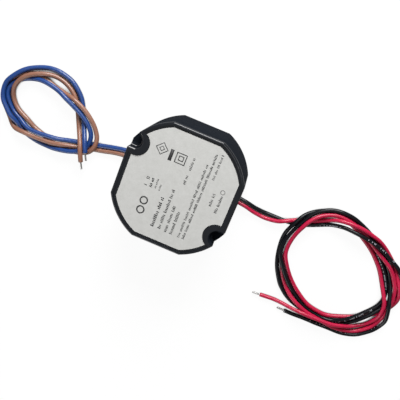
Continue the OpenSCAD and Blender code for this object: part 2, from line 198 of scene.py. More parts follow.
def mixed(tree, below, above, mask):
    """Colour between two colours or colour sockets by a mask."""
    inputs = {"Factor": mask, MIX_FROM: below, MIX_TO: above}
    return put(tree, "ShaderNodeMix", inputs, data_type="RGBA").outputs[MIXED]


def shade(tree, dark, light, mask):
    """Colour between dark and light by a mask."""
    return mixed(tree, (*dark, 1), (*light, 1), mask)


def use(tree, group, **inputs):
    """Output of a node group that is placed with its own values."""
    return put(tree, "ShaderNodeGroup", inputs, node_tree=group).outputs[0]


def bump(tree, height):
    """Normal of a bump whose height is in metres."""
    return put(tree, "ShaderNodeBump", {"Height": height, "Strength": 1.0, "Distance": 1.0}).outputs["Normal"]


def empty_tree(owner):
    """Node tree of a material or a world, without its nodes."""
    owner.use_nodes = True
    owner.node_tree.nodes.clear()
    return owner.node_tree


def new_finish(name):
    """A new material, its empty tree and the place of each point on its object, in metres."""
    made = bpy.data.materials.new(name)
    tree = empty_tree(made)
    return made, tree, put(tree, "ShaderNodeTexCoord").outputs["Object"]


def surface(tree, **inputs):
    """Principled shader on the material's output."""
    shader = put(tree, "ShaderNodeBsdfPrincipled", {k.replace("_", " "): v for k, v in inputs.items()})
    put(tree, "ShaderNodeOutputMaterial", {"Surface": shader.outputs[0]})


# Finishes

MOULDED_DARK = (0.0035, 0.005, 0.0085)
MOULDED_LIGHT = (0.0125, 0.0155, 0.021)
WALL_ROUGH = 0.62
RIM_ROUGH = 0.26
RIM_FADE = 0.3 * MM
GRAIN_MM = 0.35
GRAIN_DEPTH_MM = 0.006
RIM_GRAIN_SHARE = 0.2


def make_moulded(name, smooth_from=None):
    """Moulded plastic: clouded colour and a matt eroded wall, glossy above the height smooth_from, if any,
    where the colour is also darker, a painted shade.
    """
    made, tree, here = new_finish(name)
    smooth = 0.0
    if smooth_from:
        smooth = ramp(tree, apart(tree, here)[2], smooth_from - RIM_FADE, smooth_from)
    clouds = use(tree, MOTTLE, Vector=here, Size=6.0, Contrast=1.6)
    # Subtracting the smooth mask darkens the colour of the glossy rim and lips: painted shade, against
    # lighter walls.
    tint = calc(tree, "MULTIPLY_ADD", calc(tree, "SUBTRACT", clouds, smooth), 0.5, 0.5)
    rubbed = use(tree, SCUFFS, Vector=here, Size=0.5, Angle=0.7)
    rough = calc(tree, "MULTIPLY_ADD", smooth, RIM_ROUGH - WALL_ROUGH, WALL_ROUGH)
    rough = calc(tree, "MULTIPLY_ADD", clouds, 0.08, rough)
    depth = calc(tree, "MULTIPLY_ADD", smooth, (RIM_GRAIN_SHARE - 1) * GRAIN_DEPTH_MM, GRAIN_DEPTH_MM)
    surface(tree, Base_Color=shade(tree, MOULDED_DARK, MOULDED_LIGHT, tint),
            Roughness=calc(tree, "MULTIPLY_ADD", rubbed, -0.06, rough),
            Specular_IOR_Level=0.015, Coat_Weight=smooth, Coat_Roughness=0.14,
            Normal=bump(tree, use(tree, GRAIN, Vector=here, Size=GRAIN_MM, Depth=depth)))
    return made


def make_label_film():
    """Pale printed film: paper-like clouds of two sizes and a faint crawl of gloss."""
    made, tree, here = new_finish("label_film")
    clouds = use(tree, MOTTLE, Vector=here, Size=2.2, Contrast=2.2)
    specks = use(tree, MOTTLE, Vector=here, Size=0.55, Contrast=2.6)
    both = calc(tree, "MULTIPLY_ADD", specks, 0.4, calc(tree, "MULTIPLY", clouds, 0.6))
    surface(tree, Base_Color=shade(tree, (0.60, 0.60, 0.575), (0.72, 0.72, 0.70), both),
            Roughness=ramp(tree, clouds, 0, 1, 0.42, 0.55), Specular_IOR_Level=0.35,
            Normal=bump(tree, use(tree, GRAIN, Vector=here, Size=0.6, Depth=0.003)))
    return made


def make_ink():
    """Thermal print: dark grey that is worn lighter in specks."""
    made, tree, here = new_finish("print_ink")
    worn = use(tree, MOTTLE, Vector=here, Size=0.35, Contrast=1.4)
    surface(tree, Base_Color=shade(tree, (0.014, 0.014, 0.016), (0.09, 0.09, 0.09), worn),
            Roughness=ramp(tree, worn, 0, 1, 0.45, 0.6), Specular_IOR_Level=0.3)
    return made


def make_resin():
    """Cast resin: dark, glossy, with long shallow waves and a few pin bubbles."""
    made, tree, here = new_finish("cast_resin")
    clouds = use(tree, MOTTLE, Vector=here, Size=9.0, Contrast=1.8)
    waves = noise(tree, here, 160.0, 1.0)
    cells = put(tree, "ShaderNodeTexVoronoi", {"Vector": here, "Scale": 420.0}, feature="F1")
    pits = ramp(tree, cells.outputs["Distance"], 0.05, 0.16, -1.0, 0.0)
    height = calc(tree, "MULTIPLY_ADD", pits, 0.04 * MM, calc(tree, "MULTIPLY", waves, 0.25 * MM))
    surface(tree, Base_Color=shade(tree, (0.012, 0.013, 0.014), (0.024, 0.025, 0.027), clouds),
            Roughness=ramp(tree, clouds, 0, 1, 0.16, 0.34), Normal=bump(tree, height))
    return made


# A lead's legend is a row of small blocks in long groups. It winds slowly round the lead, by LEGEND_WINDING
# turns in a millimetre.
LEGEND_WINDING = 0.0045
LEGEND_HALF_HEIGHT = 0.055
LEGEND_CELL_MM = 0.62
LEGEND_CELL_FILLED = 0.66
LEGEND_LEFT_OUT = 0.42
LEGEND_GROUP_MM = 31.0
LEGEND_GROUP_FILLED = 0.62


def legend_mask(tree, around, along):
    """1 on the blocks of a legend, each of them there or not by chance."""
    turned = calc(tree, "MULTIPLY_ADD", along, LEGEND_WINDING, around)
    off_row = calc(tree, "ABSOLUTE", calc(tree, "SUBTRACT", calc(tree, "FRACT", turned), 0.5))
    in_row = calc(tree, "LESS_THAN", off_row, LEGEND_HALF_HEIGHT)
    cell = calc(tree, "MULTIPLY", along, 1 / LEGEND_CELL_MM)
    chance = put(tree, "ShaderNodeTexWhiteNoise", {"W": calc(tree, "FLOOR", cell)}, noise_dimensions="1D")
    there = calc(tree, "GREATER_THAN", chance.outputs["Value"], LEGEND_LEFT_OUT)
    in_block = calc(tree, "LESS_THAN", calc(tree, "FRACT", cell), LEGEND_CELL_FILLED)
    group = calc(tree, "FRACT", calc(tree, "MULTIPLY", along, 1 / LEGEND_GROUP_MM))
    in_group = calc(tree, "LESS_THAN", group, LEGEND_GROUP_FILLED)
    return calc(tree, "MULTIPLY", calc(tree, "MULTIPLY", in_row, in_group),
                calc(tree, "MULTIPLY", there, in_block))


def make_insulation(name, dark, light, gloss, glaze=0.25, legend=None):
    """PVC insulation on its own UV, u round the lead and v along it in millimetres.

    The extruder leaves faint lines along the lead. Gloss is the shine of the plastic, glaze the weight of the
    clear skin over it, and legend the colour of the print, if there is one.
    """
    made, tree, here = new_finish(name)
    around, along = apart(tree, put(tree, "ShaderNodeTexCoord").outputs["UV"])[:2]
    circle = calc(tree, "MULTIPLY", around, 2 * np.pi)
    wrapped = put(tree, "ShaderNodeCombineXYZ", {
        "X": calc(tree, "COSINE", circle), "Y": calc(tree, "SINE", circle),
        "Z": calc(tree, "MULTIPLY", along, 0.02)}).outputs[0]
    lines = noise(tree, wrapped, 7.0, 2.0)
    clouds = use(tree, MOTTLE, Vector=here, Size=5.0, Contrast=1.8)
    tint = calc(tree, "MULTIPLY_ADD", lines, 0.5, calc(tree, "MULTIPLY", clouds, 0.5))
    colour = shade(tree, dark, light, tint)
    if legend:
        colour = mixed(tree, colour, (*legend, 1), legend_mask(tree, around, along))
    surface(tree, Base_Color=colour, Roughness=ramp(tree, clouds, 0, 1, 0.32, 0.42),
            Specular_IOR_Level=gloss, Coat_Weight=glaze, Coat_Roughness=0.16,
            Normal=bump(tree, calc(tree, "MULTIPLY", lines, 0.02 * MM)))
    return made


def make_metal(name, dark, light, roughness):
    """Drawn or tinned metal: bright, clouded, with fine scratches."""
    made, tree, here = new_finish(name)
    clouds = use(tree, MOTTLE, Vector=here, Size=0.8, Contrast=2.2)
    lines = use(tree, SCUFFS, Vector=here, Size=0.3, Angle=0.3)
    rough = calc(tree, "MULTIPLY_ADD", clouds, 0.12, roughness)
    surface(tree, Base_Color=shade(tree, dark, light, clouds), Metallic=1.0,
            Roughness=calc(tree, "MULTIPLY_ADD", lines, 0.15, rough))
    return made


def make_wound(name, dark, light, pitch_mm, axis, metal=0.0):
    """Turns of wire or tape: ridges a pitch apart along one axis, with painted shade that darkens the colour
    between them.
    """
    made, tree, here = new_finish(name)
    phase = calc(tree, "MULTIPLY", apart(tree, here)[axis], 2 * np.pi / (pitch_mm * MM))
    ridge = ramp(tree, calc(tree, "SINE", phase), -1, 1)
    clouds = use(tree, MOTTLE, Vector=here, Size=1.5, Contrast=1.6)
    height = calc(tree, "MULTIPLY", ridge, 0.3 * pitch_mm * MM)
    # The ridge mask also darkens the colour in the grooves: painted shade between the turns.
    tint = calc(tree, "MULTIPLY_ADD", clouds, 0.4, calc(tree, "MULTIPLY", ridge, 0.6))
    surface(tree, Base_Color=shade(tree, dark, light, tint), Metallic=metal,
            Roughness=ramp(tree, clouds, 0, 1, 0.28, 0.42), Normal=bump(tree, height))
    return made


def make_dull(name, dark, light, roughness, size_mm=1.2, depth_mm=0.02, glaze=0.0):
    """Pressed, dipped or laminated part: clouded colour, an uneven skin and a clear layer of some weight."""
    made, tree, here = new_finish(name)
    clouds = use(tree, MOTTLE, Vector=here, Size=size_mm, Contrast=2.0)
    surface(tree, Base_Color=shade(tree, dark, light, clouds),
            Roughness=calc(tree, "MULTIPLY_ADD", clouds, 0.14, roughness), Coat_Weight=glaze,
            Normal=bump(tree, use(tree, GRAIN, Vector=here, Size=size_mm / 3, Depth=depth_mm)))
    return made


def make_board():
    """Laminate with solder resist: green, lighter where square copper tracks run under it."""
    made, tree, here = new_finish("solder_resist")
    tracks = put(tree, "ShaderNodeTexVoronoi", {"Vector": here, "Scale": 260.0},
                 distance="MANHATTAN", feature="DISTANCE_TO_EDGE")
    copper = ramp(tree, tracks.outputs["Distance"], 0.08, 0.12)
    weave = use(tree, MOTTLE, Vector=here, Size=0.5, Contrast=1.5)
    tint = calc(tree, "MULTIPLY_ADD", copper, 0.7, calc(tree, "MULTIPLY", weave, 0.3))
    surface(tree, Base_Color=shade(tree, (0.012, 0.06, 0.022), (0.035, 0.16, 0.05), tint),
            Roughness=ramp(tree, weave, 0, 1, 0.25, 0.4),
            Normal=bump(tree, calc(tree, "MULTIPLY", copper, 0.03 * MM)))
    return made


RIM_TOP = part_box("housing")[1].z
GLOSS_BELOW_RIM = 1 * MM
GLOSS_IN_POCKET = 3 * MM
BLUE_PVC = (0.006, 0.036, 0.18), (0.012, 0.074, 0.31)
BROWN_PVC = (0.25, 0.105, 0.065), (0.39, 0.185, 0.12)
BLACK_PVC = (0.002, 0.0025, 0.004), (0.004, 0.005, 0.008)
RED_PVC = (0.46, 0.005, 0.040), (0.64, 0.012, 0.076)
LEGEND_GREY = (0.34, 0.35, 0.38)

FINISHES = {
    "moulded": make_moulded("moulded_black", RIM_TOP - GLOSS_BELOW_RIM),
    "pocket": make_moulded("pocket_black", RIM_TOP - GLOSS_IN_POCKET),
    "shaded": make_moulded("shaded_black"),
    "label": make_label_film(),
    "ink": make_ink(),
    "resin": make_resin(),
    "blue": make_insulation("blue_pvc", *BLUE_PVC, gloss=0.55),
    "brown": make_insulation("brown_pvc", *BROWN_PVC, gloss=0.6),
    "black": make_insulation("black_pvc", *BLACK_PVC, gloss=0.08, glaze=0.35, legend=LEGEND_GREY),
    "red": make_insulation("red_pvc", *RED_PVC, gloss=0.3),
    "blue_tail": make_dull("blue_pvc_tail", *BLUE_PVC, 0.32, 5.0, 0.004, 0.25),
    "red_tail": make_dull("red_pvc_tail", *RED_PVC, 0.32, 5.0, 0.004, 0.25),
    "tin": make_metal("tinned_copper", (0.38, 0.37, 0.36), (0.62, 0.61, 0.60), 0.26),
    "board": make_board(),
    "package": make_dull("moulded_package", (0.012, 0.012, 0.013), (0.03, 0.03, 0.032), 0.42, 0.8, 0.015),
    "ferrite": make_dull("ferrite", (0.018, 0.018, 0.02), (0.05, 0.05, 0.055), 0.5, 0.6, 0.03),
    "copper": make_wound("enamelled_copper", (0.24, 0.07, 0.02), (0.65, 0.26, 0.10), 0.35, 2, metal=0.9),
    "tape": make_wound("polyester_tape", (0.55, 0.36, 0.03), (0.78, 0.58, 0.08), 1.6, 0),
    "bobbin": make_dull("bobbin_nylon", (0.52, 0.46, 0.32), (0.66, 0.60, 0.45), 0.4, 2.0, 0.01),
    "sleeve": make_dull("capacitor_sleeve", (0.008, 0.018, 0.045), (0.02, 0.035, 0.08), 0.24, 3.0, 0.01, 0.4),
    "film": make_dull("film_capacitor_case", (0.42, 0.24, 0.03), (0.58, 0.36, 0.06), 0.36, 2.0, 0.01),
    "disc": make_dull("dipped_disc", (0.02, 0.07, 0.25), (0.04, 0.12, 0.36), 0.22, 1.5, 0.04, 0.5),
    "fuse": make_dull("fuse_case", (0.16, 0.07, 0.025), (0.26, 0.12, 0.05), 0.38, 2.0, 0.01),
    "opto": make_dull("optocoupler_case", (0.62, 0.61, 0.57), (0.76, 0.75, 0.71), 0.42, 0.8, 0.01),
}

PACKED_FINISH = {
    "rating_label": "label", "potting_compound": "resin", "circuit_board": "board",
    "input_fuse": "fuse", "varistor": "disc", "suppression_capacitor": "film",
    "line_choke_core": "ferrite", "line_choke_winding": "copper", "bridge_rectifier": "package",
    "input_capacitor": "sleeve", "switching_controller": "package", "snubber_capacitor": "film",
    "transformer_core_left": "ferrite", "transformer_core_right": "ferrite",
    "transformer_bobbin": "bobbin", "transformer_winding": "tape",
    "y_capacitor": "disc", "optocoupler": "opto", "output_rectifier": "package",
    "output_choke_core": "ferrite", "output_choke_winding": "copper",
    "output_capacitor_a": "sleeve", "output_capacitor_b": "sleeve",
    "mains_lead_tails": "blue_tail", "output_lead_tails": "red_tail",
}

for node_name, finish in PACKED_FINISH.items():
    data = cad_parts[node_name].data
    data.materials.clear()
    data.materials.append(FINISHES[finish])


# Shapes

def unit(v):
    """Vectors of length 1."""
    return v / np.linalg.norm(v, axis=-1, keepdims=True)


def add_piece(name, mesh, finish):
    """Smooth object of a mesh in one finish, which rides on the root."""
    mesh.shade_smooth()
    mesh.materials.append(FINISHES[finish])
    piece = add_object(name, mesh)
    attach(piece, ROOT)
    return piece


def new_piece(name, points, faces, finish, corners=None):
    """Piece at the origin from points in metres and any faces; corners are the faces' UV."""
    mesh = bpy.data.meshes.new(name)
    mesh.from_pydata(points.tolist(), [], [face.tolist() for face in faces])
    if corners is not None:
        mesh.uv_layers.new(name="round_and_along").data.foreach_set("uv", corners.ravel())
    return add_piece(name, mesh, finish)


def lengths_along(line):
    """Length of the line from its start to each of its points."""
    return np.concatenate(([0], np.cumsum(np.linalg.norm(np.diff(line, axis=0), axis=1))))


def grid_faces(rows, columns):
    """Quads between rows of points, each row closed: one array of rows - 1 by columns quads."""
    i, j = np.meshgrid(np.arange(rows - 1) * columns, np.arange(columns), indexing="ij")
    k = (j + 1) % columns
    return np.stack((i + j, i + k, i + columns + k, i + columns + j), axis=-1)


def curve_through(points, steps=12):
    """Smooth curve through points: each span is the cubic set by its two points and their two neighbours."""
    p = np.vstack((2 * points[0] - points[1], points, 2 * points[-1] - points[-2]))
    t = np.linspace(0, 1, steps, endpoint=False)[:, None]
    a, b, c, d = (p[i:len(p) - 3 + i, None] for i in range(4))
    spans = (2 * b + (c - a) * t + (2 * a - 5 * b + 4 * c - d) * t**2 + (3 * b - a - 3 * c + d) * t**3) / 2
    return np.vstack((spans.reshape(-1, 3), points[-1:]))


def evenly(line, step):
    """The line again with points about a step apart, found along its length."""
    along = lengths_along(line)
    at = np.linspace(0, along[-1], int(np.ceil(along[-1] / step)) + 1)
    return np.stack([np.interp(at, along, line[:, k]) for k in range(3)], axis=1)


def eased(line, reach):
    """The line averaged by a bell curve that is `reach` points wide, its two ends kept."""
    n = 3 * reach
    bell = np.exp(-0.5 * (np.arange(-n, n + 1) / reach) ** 2)
    padded = np.vstack((2 * line[0] - line[n:0:-1], line, 2 * line[-1] - line[-2:-n - 2:-1]))
    return np.stack([np.convolve(padded[:, k], bell / bell.sum(), "valid") for k in range(3)], axis=1)


def tube(line, radii, sides):
    """Round profile along a line: the point at angle a on a ring lies at line + r (cos a, sin a) across it.

    Returns points, quads, end caps and the UV of both, u round the tube and v along it in millimetres.
    """
    ahead = unit(np.gradient(line, axis=0))
    across = unit(np.cross(UP, ahead))
    over = np.cross(ahead, across)
    angle = (np.arange(sides) * 2 * np.pi / sides)[:, None]
    ring = np.cos(angle) * across[:, None] + np.sin(angle) * over[:, None]
    points = (line[:, None] + radii[:, None, None] * ring).reshape(-1, 3)
    quads = grid_faces(len(line), sides)
    caps = [np.arange(sides)[::-1], np.arange(sides) + (len(line) - 1) * sides]
    u = (np.arange(sides)[:, None] + (0, 1, 1, 0)) / sides
    v = (lengths_along(line) / MM)[quads // sides]
    quad_uv = np.stack((np.broadcast_to(u, v.shape), v), axis=-1).reshape(-1, 2)
    cap_uv = np.tile((0.5, 0.0), (2 * sides, 1))
    return points, quads.reshape(-1, 4), caps, np.vstack((quad_uv, cap_uv))


def several(tubes):
    """Points, faces and UV of tubes that share one mesh, apart from each other."""
    points, quads, caps, quad_uv, cap_uv, count = [], [], [], [], [], 0
    for own_points, own_quads, own_caps, own_uv in tubes:
        points.append(own_points)
        quads.extend(own_quads + count)
        caps.extend(cap + count for cap in own_caps)
        quad_uv.append(own_uv[:own_quads.size])
        cap_uv.append(own_uv[own_quads.size:])
        count += len(own_points)
    return np.vstack(points), quads + caps, np.vstack(quad_uv + cap_uv)


# Leads

MAINS_D = 2.2 * MM
OUTPUT_D = 1.9 * MM
STRAND_D = 0.3 * MM
STRAND_LAY = 6.5 * MM
BARE_LENGTH = 4.3 * MM
MOUTH_EDGE = 0.12 * MM
LEAD_STEP = 0.5 * MM
EASE_REACH = 3
LEAD_SIDES = 20
STRAND_SIDES = 10
STRAND_RINGS = 34
STRANDS_ROUND = 6
STRAND_ROOT = 0.6 * MM
STRAND_LONGEST = 1.02
STRAND_SHORTFALL = 0.10
SPLAY_FROM = 0.7
SPLAY = 0.5
TIP_SHARE = 0.7

# Each route starts after the exit. A point is x and y in millimetres, then by how many diameters the lead
# is lifted off what the object stands on.
BLUE_ROUTE = (
    (-30.4, 1.1, .43), (-37.8, -.6, .08), (-42, -1.7, .04), (-46.3, -2.7, 0), (-50.6, -3.7, .04),
    (-58, -5.4, .43), (-62.2, -6.4, .87), (-66.6, -6.8, 1.11), (-74.2, -7.4, 1.09), (-78.7, -6.8, .8),
    (-82.6, -4.7, .31), (-87, -2.6, -.03), (-91.6, 3.1, .29), (-91.9, 8.1, .26), (-88.7, 12.2, -.05),
    (-84.6, 14.5, .15), (-80.1, 16, .71), (-75.7, 16.4, 1.01), (-68.6, 15.1, 1.25), (-64.5, 13.4, 1.65),
    (-60.2, 11.4, 1.41), (-53.9, 8, 1.11), (-50.4, 5.1, 1.04), (-47.8, 1.2, .99), (-48, -4.4, 1.05),
    (-51.5, -8, 1.16), (-55.7, -9.8, 1.18), (-62.7, -11.4, .83), (-67.4, -11.8, .28), (-71.8, -11.8, .02),
    (-78.5, -10.3, .01), (-82.5, -7.4, .14), (-86.4, -5.1, .99), (-89.8, -1.9, 1.04), (-93, 2.2, 1.06),
    (-93.5, 9, 1.07), (-90.9, 13.5, 1.07), (-87.8, 17.2, .84), (-84.2, 19.8, .34), (-77.9, 22.4, -.01),
    (-72.7, 23, 0), (-68.2, 22.2, 0), (-63.9, 20.6, 0), (-58.5, 15.8, 0), (-56.2, 11.5, 0),
    (-54.3, 7.4, .05), (-52.5, 3.4, .49), (-49.1, -2.6, 2), (-47.3, -6.7, 2.2))

BROWN_ROUTE = (
    (-31.1, -1.5, .41), (-36.1, -2.5, .11), (-41, -3.9, 0), (-46, -5, -.03), (-52.1, -6.5, .2),
    (-58.9, -7.9, .91), (-63.9, -9.1, 1.16), (-69, -9.5, 1.14), (-74.2, -9.7, 1.19), (-79.5, -9.5, 1.25),
    (-84.6, -9.6, .25), (-88.5, -5.2, -.02), (-91.8, -1.2, 0), (-94, 3.5, 0), (-94, 8.9, 0),
    (-91, 13.3, 0), (-86.5, 16.2, 0), (-81.5, 17.7, 0), (-76.3, 17.1, 0), (-71.3, 15.6, -.01),
    (-65.2, 14.6, .43), (-60, 13.9, 1.24), (-55, 11.7, 1.22), (-50.8, 8.7, 1.04), (-47.2, 5, .87),
    (-44.6, .2, .96), (-45.6, -5.4, 1.15), (-50, -8.5, .18), (-55.2, -9.8, -.01), (-60.3, -10.2, 0),
    (-65.4, -9.3, .01), (-70.3, -7.6, 0), (-75.3, -6.1, .01), (-79.7, -3.3, .31), (-84.9, -1, .1),
    (-88.5, 2.8, .02), (-89.5, 8.1, .65), (-87.4, 13, 1.12), (-83.6, 16.8, 1.2), (-77.6, 19.5, .66),
    (-72.5, 20.2, .09), (-67, 19, 0), (-61.9, 15.7, .01), (-59.1, 11.4, .01), (-56.8, 6.3, .01),
    (-54.6, 1.7, .37), (-52.1, -2.3, 1.37), (-49.9, -6.6, 2.26), (-48, -11.6, 2.1))

BLACK_ROUTE = (
    (31.5, .4, .73), (33.9, -.4, .44), (39.4, -1, .07), (41.8, -1, .01), (47.3, -1, 0), (50.1, -1, 0),
    (55.2, -.3, 0), (59.4, 1, 0), (62.7, 2.4, -.01), (67.7, 4.9, .11), (69.9, 6, .32), (75, 7.4, 1.14),
    (77.7, 7.6, 1.6), (82.8, 7.4, 2.02), (86.8, 7, 2.04), (90.7, 6.2, 1.94), (95.9, 4.4, 1.51),
    (98.4, 3.2, 1.3), (103, .8, 1.07), (105.5, -.4, .94), (109.5, -3.7, .43), (111.1, -6.4, .11),
    (111.6, -11.6, -.01), (110.9, -14.8, -.01), (109, -19.7, .1), (107.2, -22.7, .53),
    (104.6, -26.1, 1.04), (101.3, -30.1, 1.11), (99.7, -32.3, .69), (96, -36.3, -.05), (93.9, -38, 0),
    (88.6, -39.8, .01), (86, -39.9, 0), (80.5, -39.6, 0), (77, -38.8, 0), (72.8, -37.7, 0), (69, -36.4, 0),
    (65.4, -34.8, .01), (61, -31.3, 0), (59.4, -29.4, 0), (56.4, -24.7, 0), (54.7, -21.1, 0),
    (53.5, -17.3, 0), (52.7, -13.4, .02), (52.2, -9.4, .23), (52.3, -5.5, .7), (53.3, -1.6, 1.37),
    (55.4, 3.1, 1.23), (57.2, 5.7, .46), (60.6, 8.5, .05), (64.8, 10.9, 0), (68.6, 12.3, .07),
    (72.6, 12.8, .12), (77, 12.1, .05), (80.4, 10.8, .01), (84.3, 8.7, 0), (87.4, 7, 0), (91.1, 4.7, 0),
    (95.2, 1.5, .01), (98.1, -1.2, .02), (101, -4.4, .02), (103.1, -7.3, .01), (105.3, -11.1, 0),
    (106.7, -14.5, 0), (106.7, -19.2, .25), (104.7, -22.8, .61), (102.1, -25.7, .92), (99.5, -28.7, 1.14),
    (96, -32.6, 1.11), (92.8, -35.4, .71), (89.3, -37.4, .37), (85.1, -37.9, .12), (81.2, -37.6, 0),
    (77.2, -36.8, 0), (73.5, -35.4, .01), (70.1, -33.3, -.01), (66.8, -31, .07), (62.8, -27.3, .53),
    (60.1, -24.4, .86), (57.7, -21.2, 1.06), (55.3, -18, 1.12), (53.7, -14.3, 1.08), (53.5, -9.8, 1.06),
    (54.1, -6.2, 1.09), (55.8, -.9, 1.17), (56.8, 1.2, 1.26), (59.2, 6.3, 1.25), (60.6, 8.5, 1.13),
    (65.1, 11.8, 1.06), (69.3, 13.3, 1.06), (73, 13.6, 1.06), (77.4, 13.2, .95), (80.8, 12.1, .78),
    (85.9, 10, .39), (88.3, 8.7, .17), (92.7, 6, -.01), (95.2, 4, 0), (98.8, .9, 0), (101.8, -2.3, 0),
    (104.1, -5.1, -.02), (106.8, -10, .41), (107.5, -12.5, 1.02), (109.1, -17.1, 1.94), (110, -19.9, 2.07),
    (111.3, -24.8, 1.79), (111.7, -27.6, 1.02), (110.2, -32.7, .07), (108.5, -34.9, -.01),
    (104.4, -38.6, 0), (102.2, -39.9, 0), (96.8, -41.5, .01), (91.2, -41.7, .01), (88.9, -41.7, 0),
    (83.3, -42, 0), (81, -41.9, .01), (75.4, -42, 0), (73.1, -42.2, .01), (67.5, -42.2, 0))

RED_ROUTE = (
    (31.5, -1.6, .72), (33.9, -2.5, .38), (39.4, -3.3, .15), (42, -3.2, .34), (47.3, -2, 1),
    (49.7, -.5, 1.13), (54.7, 1.7, .23), (57.5, 2.4, .04), (62.3, 4.4, 0), (65.1, 5.9, .15),
    (69.1, 8.3, .79), (72.5, 9.8, 1.57), (76.9, 10.5, 2.02), (80.5, 10.6, 2.04), (84.9, 10.1, 1.96),
    (89.5, 8.9, 1.53), (92.8, 7.8, .98), (96.8, 5.5, .31), (99.4, 3.6, .06), (103.4, .3, 0),
    (105.9, -2.4, .03), (108.3, -6.1, .38), (110.5, -8.9, .95), (112.3, -13.1, .99), (112.4, -16.8, .41),
    (110.9, -21.1, -.04), (108.2, -24.2, 0), (104.9, -27.2, 0), (102, -29.3, .01), (98.2, -31.4, 0),
    (93.4, -33.5, 0), (90.8, -34.6, .01), (85.8, -35.9, .17), (81.7, -35.6, .15), (77.7, -35, .11),
    (74, -33.5, .02), (70.3, -31.1, 0), (67.4, -29, -.01), (63.8, -25.7, .08), (60.8, -22.1, .49),
    (58.6, -18.9, .91), (56.5, -15.3, 1.04), (55.9, -11.3, 1.06), (56.2, -6.8, 1.29), (56.8, -3.4, 1.69),
    (58.3, 1.1, 2.07), (59.7, 4.2, 2.05), (62.9, 7.8, 1.55), (65.7, 9.5, 1.19), (70.2, 11.3, .98),
    (73.5, 11.4, .95), (78.3, 10.7, .99), (83.5, 8.8, 1.03), (86.4, 7.4, 1.02), (90.5, 5, 1.03),
    (93.2, 3.4, 1.04), (97.4, 1.1, 1.06), (100.3, -.5, 1.07), (104.1, -3.4, .94), (107.4, -7.9, .94),
    (109.1, -10.7, 1.03), (110.3, -15.4, 1.05), (110.4, -18.6, .99), (110.3, -23.5, .99),
    (110.1, -26.7, .44), (108.6, -31.3, .1), (106.3, -34.3, .08), (102.9, -37.2, .1), (99.3, -38.9, .17),
    (95.2, -39.5, .56), (91.4, -39.5, 1.1), (86.1, -39, 1.06), (82.2, -38.6, .98), (78.2, -38.1, 1),
    (74, -36.8, 1.12), (70.3, -35.2, 1.02), (66.7, -33.4, .6), (63.7, -30.9, .08), (60.8, -27.5, -.01),
    (58.8, -24.4, 0), (57.1, -19.5, 0), (56.7, -16.3, 0), (56.2, -11.6, .01), (56.5, -7.1, .22),
    (57.3, -3.3, .65), (58.8, .8, 1.07), (60.3, 4.2, 1.02), (63.4, 7.4, .51), (66.5, 9.3, .14),
    (70.7, 10.7, -.01), (74.5, 10.7, 0), (79.5, 9.1, 0), (82.3, 7.6, 0), (86.8, 5, 0), (90.2, 2.9, 0),
    (93.4, .5, 0), (96.5, -2.5, 0), (99, -5.1, -.01), (102, -9.4, .12), (103.7, -12.1, .43),
    (106.3, -16.3, 1.16), (107.7, -18.9, 1.53), (108.4, -24.1, 1.3), (108.1, -27.1, .67),
    (105.4, -31.9, 0), (103.2, -33.7, .04), (98.4, -36.2, .78), (96.1, -36.8, 1.13), (90.8, -37.9, 1.82),
    (86.8, -38.1, 2.05), (82.8, -38.2, 2.03), (77.3, -38.4, 2.04), (74.8, -38.4, 1.95),
    (69.4, -38.8, 1.17), (67.2, -38.8, .66), (61.7, -38.9, .03), (59.3, -39, 0), (53.8, -39.5, 0))


def lay(exit_mm, route, diameter):
    """Centre line of a lead: through its route's points, eased, and nowhere below the floor it lies on."""
    points = np.array(route, float)
    points = np.column_stack((points[:, :2] * MM, (points[:, 2] + 0.5) * diameter))
    line = curve_through(np.vstack((np.array(exit_mm) * MM, points)))
    line = eased(evenly(line, LEAD_STEP), EASE_REACH)
    line[:, 2] = np.maximum(line[:, 2], diameter / 2)
    return line


def with_mouths(line, radius):
    """The line with two more rings near its ends, and radii that are smaller at both cut ends."""
    ends = unit(line[[1, -2]] - line[[0, -1]]) * MOUTH_EDGE + line[[0, -1]]
    line = np.vstack((line[:1], ends[:1], line[1:-1], ends[1:], line[-1:]))
    radii = np.full(len(line), radius)
    radii[[0, -1]] -= MOUTH_EDGE
    return line, radii


def bare_strands(name, start, heading, droop):
    """Seven strands that leave a lead's cut end: one straight, six on a helix round it that opens at the tip.

    A strand at a length s lies at radius r(s) and angle a + 360 s / lay, on an axis that bends down by
    droop over the bare length.
    """
    share = np.linspace(0, 1, STRAND_RINGS)
    splayed = np.clip((share - SPLAY_FROM) / (1 - SPLAY_FROM), 0, 1) ** 2
    heading = unit(heading)
    side = unit(np.cross(UP, heading))
    over = np.cross(heading, side)
    chance = np.random.default_rng(len(name))
    strands = []
    for k in range(1 + STRANDS_ROUND):
        reach = share * BARE_LENGTH * (STRAND_LONGEST - STRAND_SHORTFALL * chance.random())
        axis = start + heading * (reach[:, None] - STRAND_ROOT) - UP * (droop * share**2)[:, None]
        spread = np.zeros_like(share) if k == 0 else STRAND_D * (1 + SPLAY * chance.random() * splayed)
        turn = k * 2 * np.pi / STRANDS_ROUND + 2 * np.pi * reach / STRAND_LAY
        line = axis + (spread * np.cos(turn))[:, None] * side + (spread * np.sin(turn))[:, None] * over
        radii = np.full(STRAND_RINGS, STRAND_D / 2)
        radii[[0, -1]] *= TIP_SHARE
        strands.append(tube(line, radii, STRAND_SIDES))
    points, faces, uv = several(strands)
    return new_piece(name, points, faces, "tin", uv)


def make_lead(colour, exit_mm, route, diameter, nodes, droop):
    line = lay(exit_mm, route, diameter)
    path, radii = with_mouths(line, diameter / 2)
    points, quads, caps, uv = tube(path, radii, LEAD_SIDES)
    lead = new_piece(f"{colour}_insulation", points, [*quads, *caps], colour, uv)
    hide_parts(*nodes)
    strands = bare_strands(f"{colour}_strands", line[-1], line[-1] - line[-4], droop)
    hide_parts(f"{colour}_bare_end")


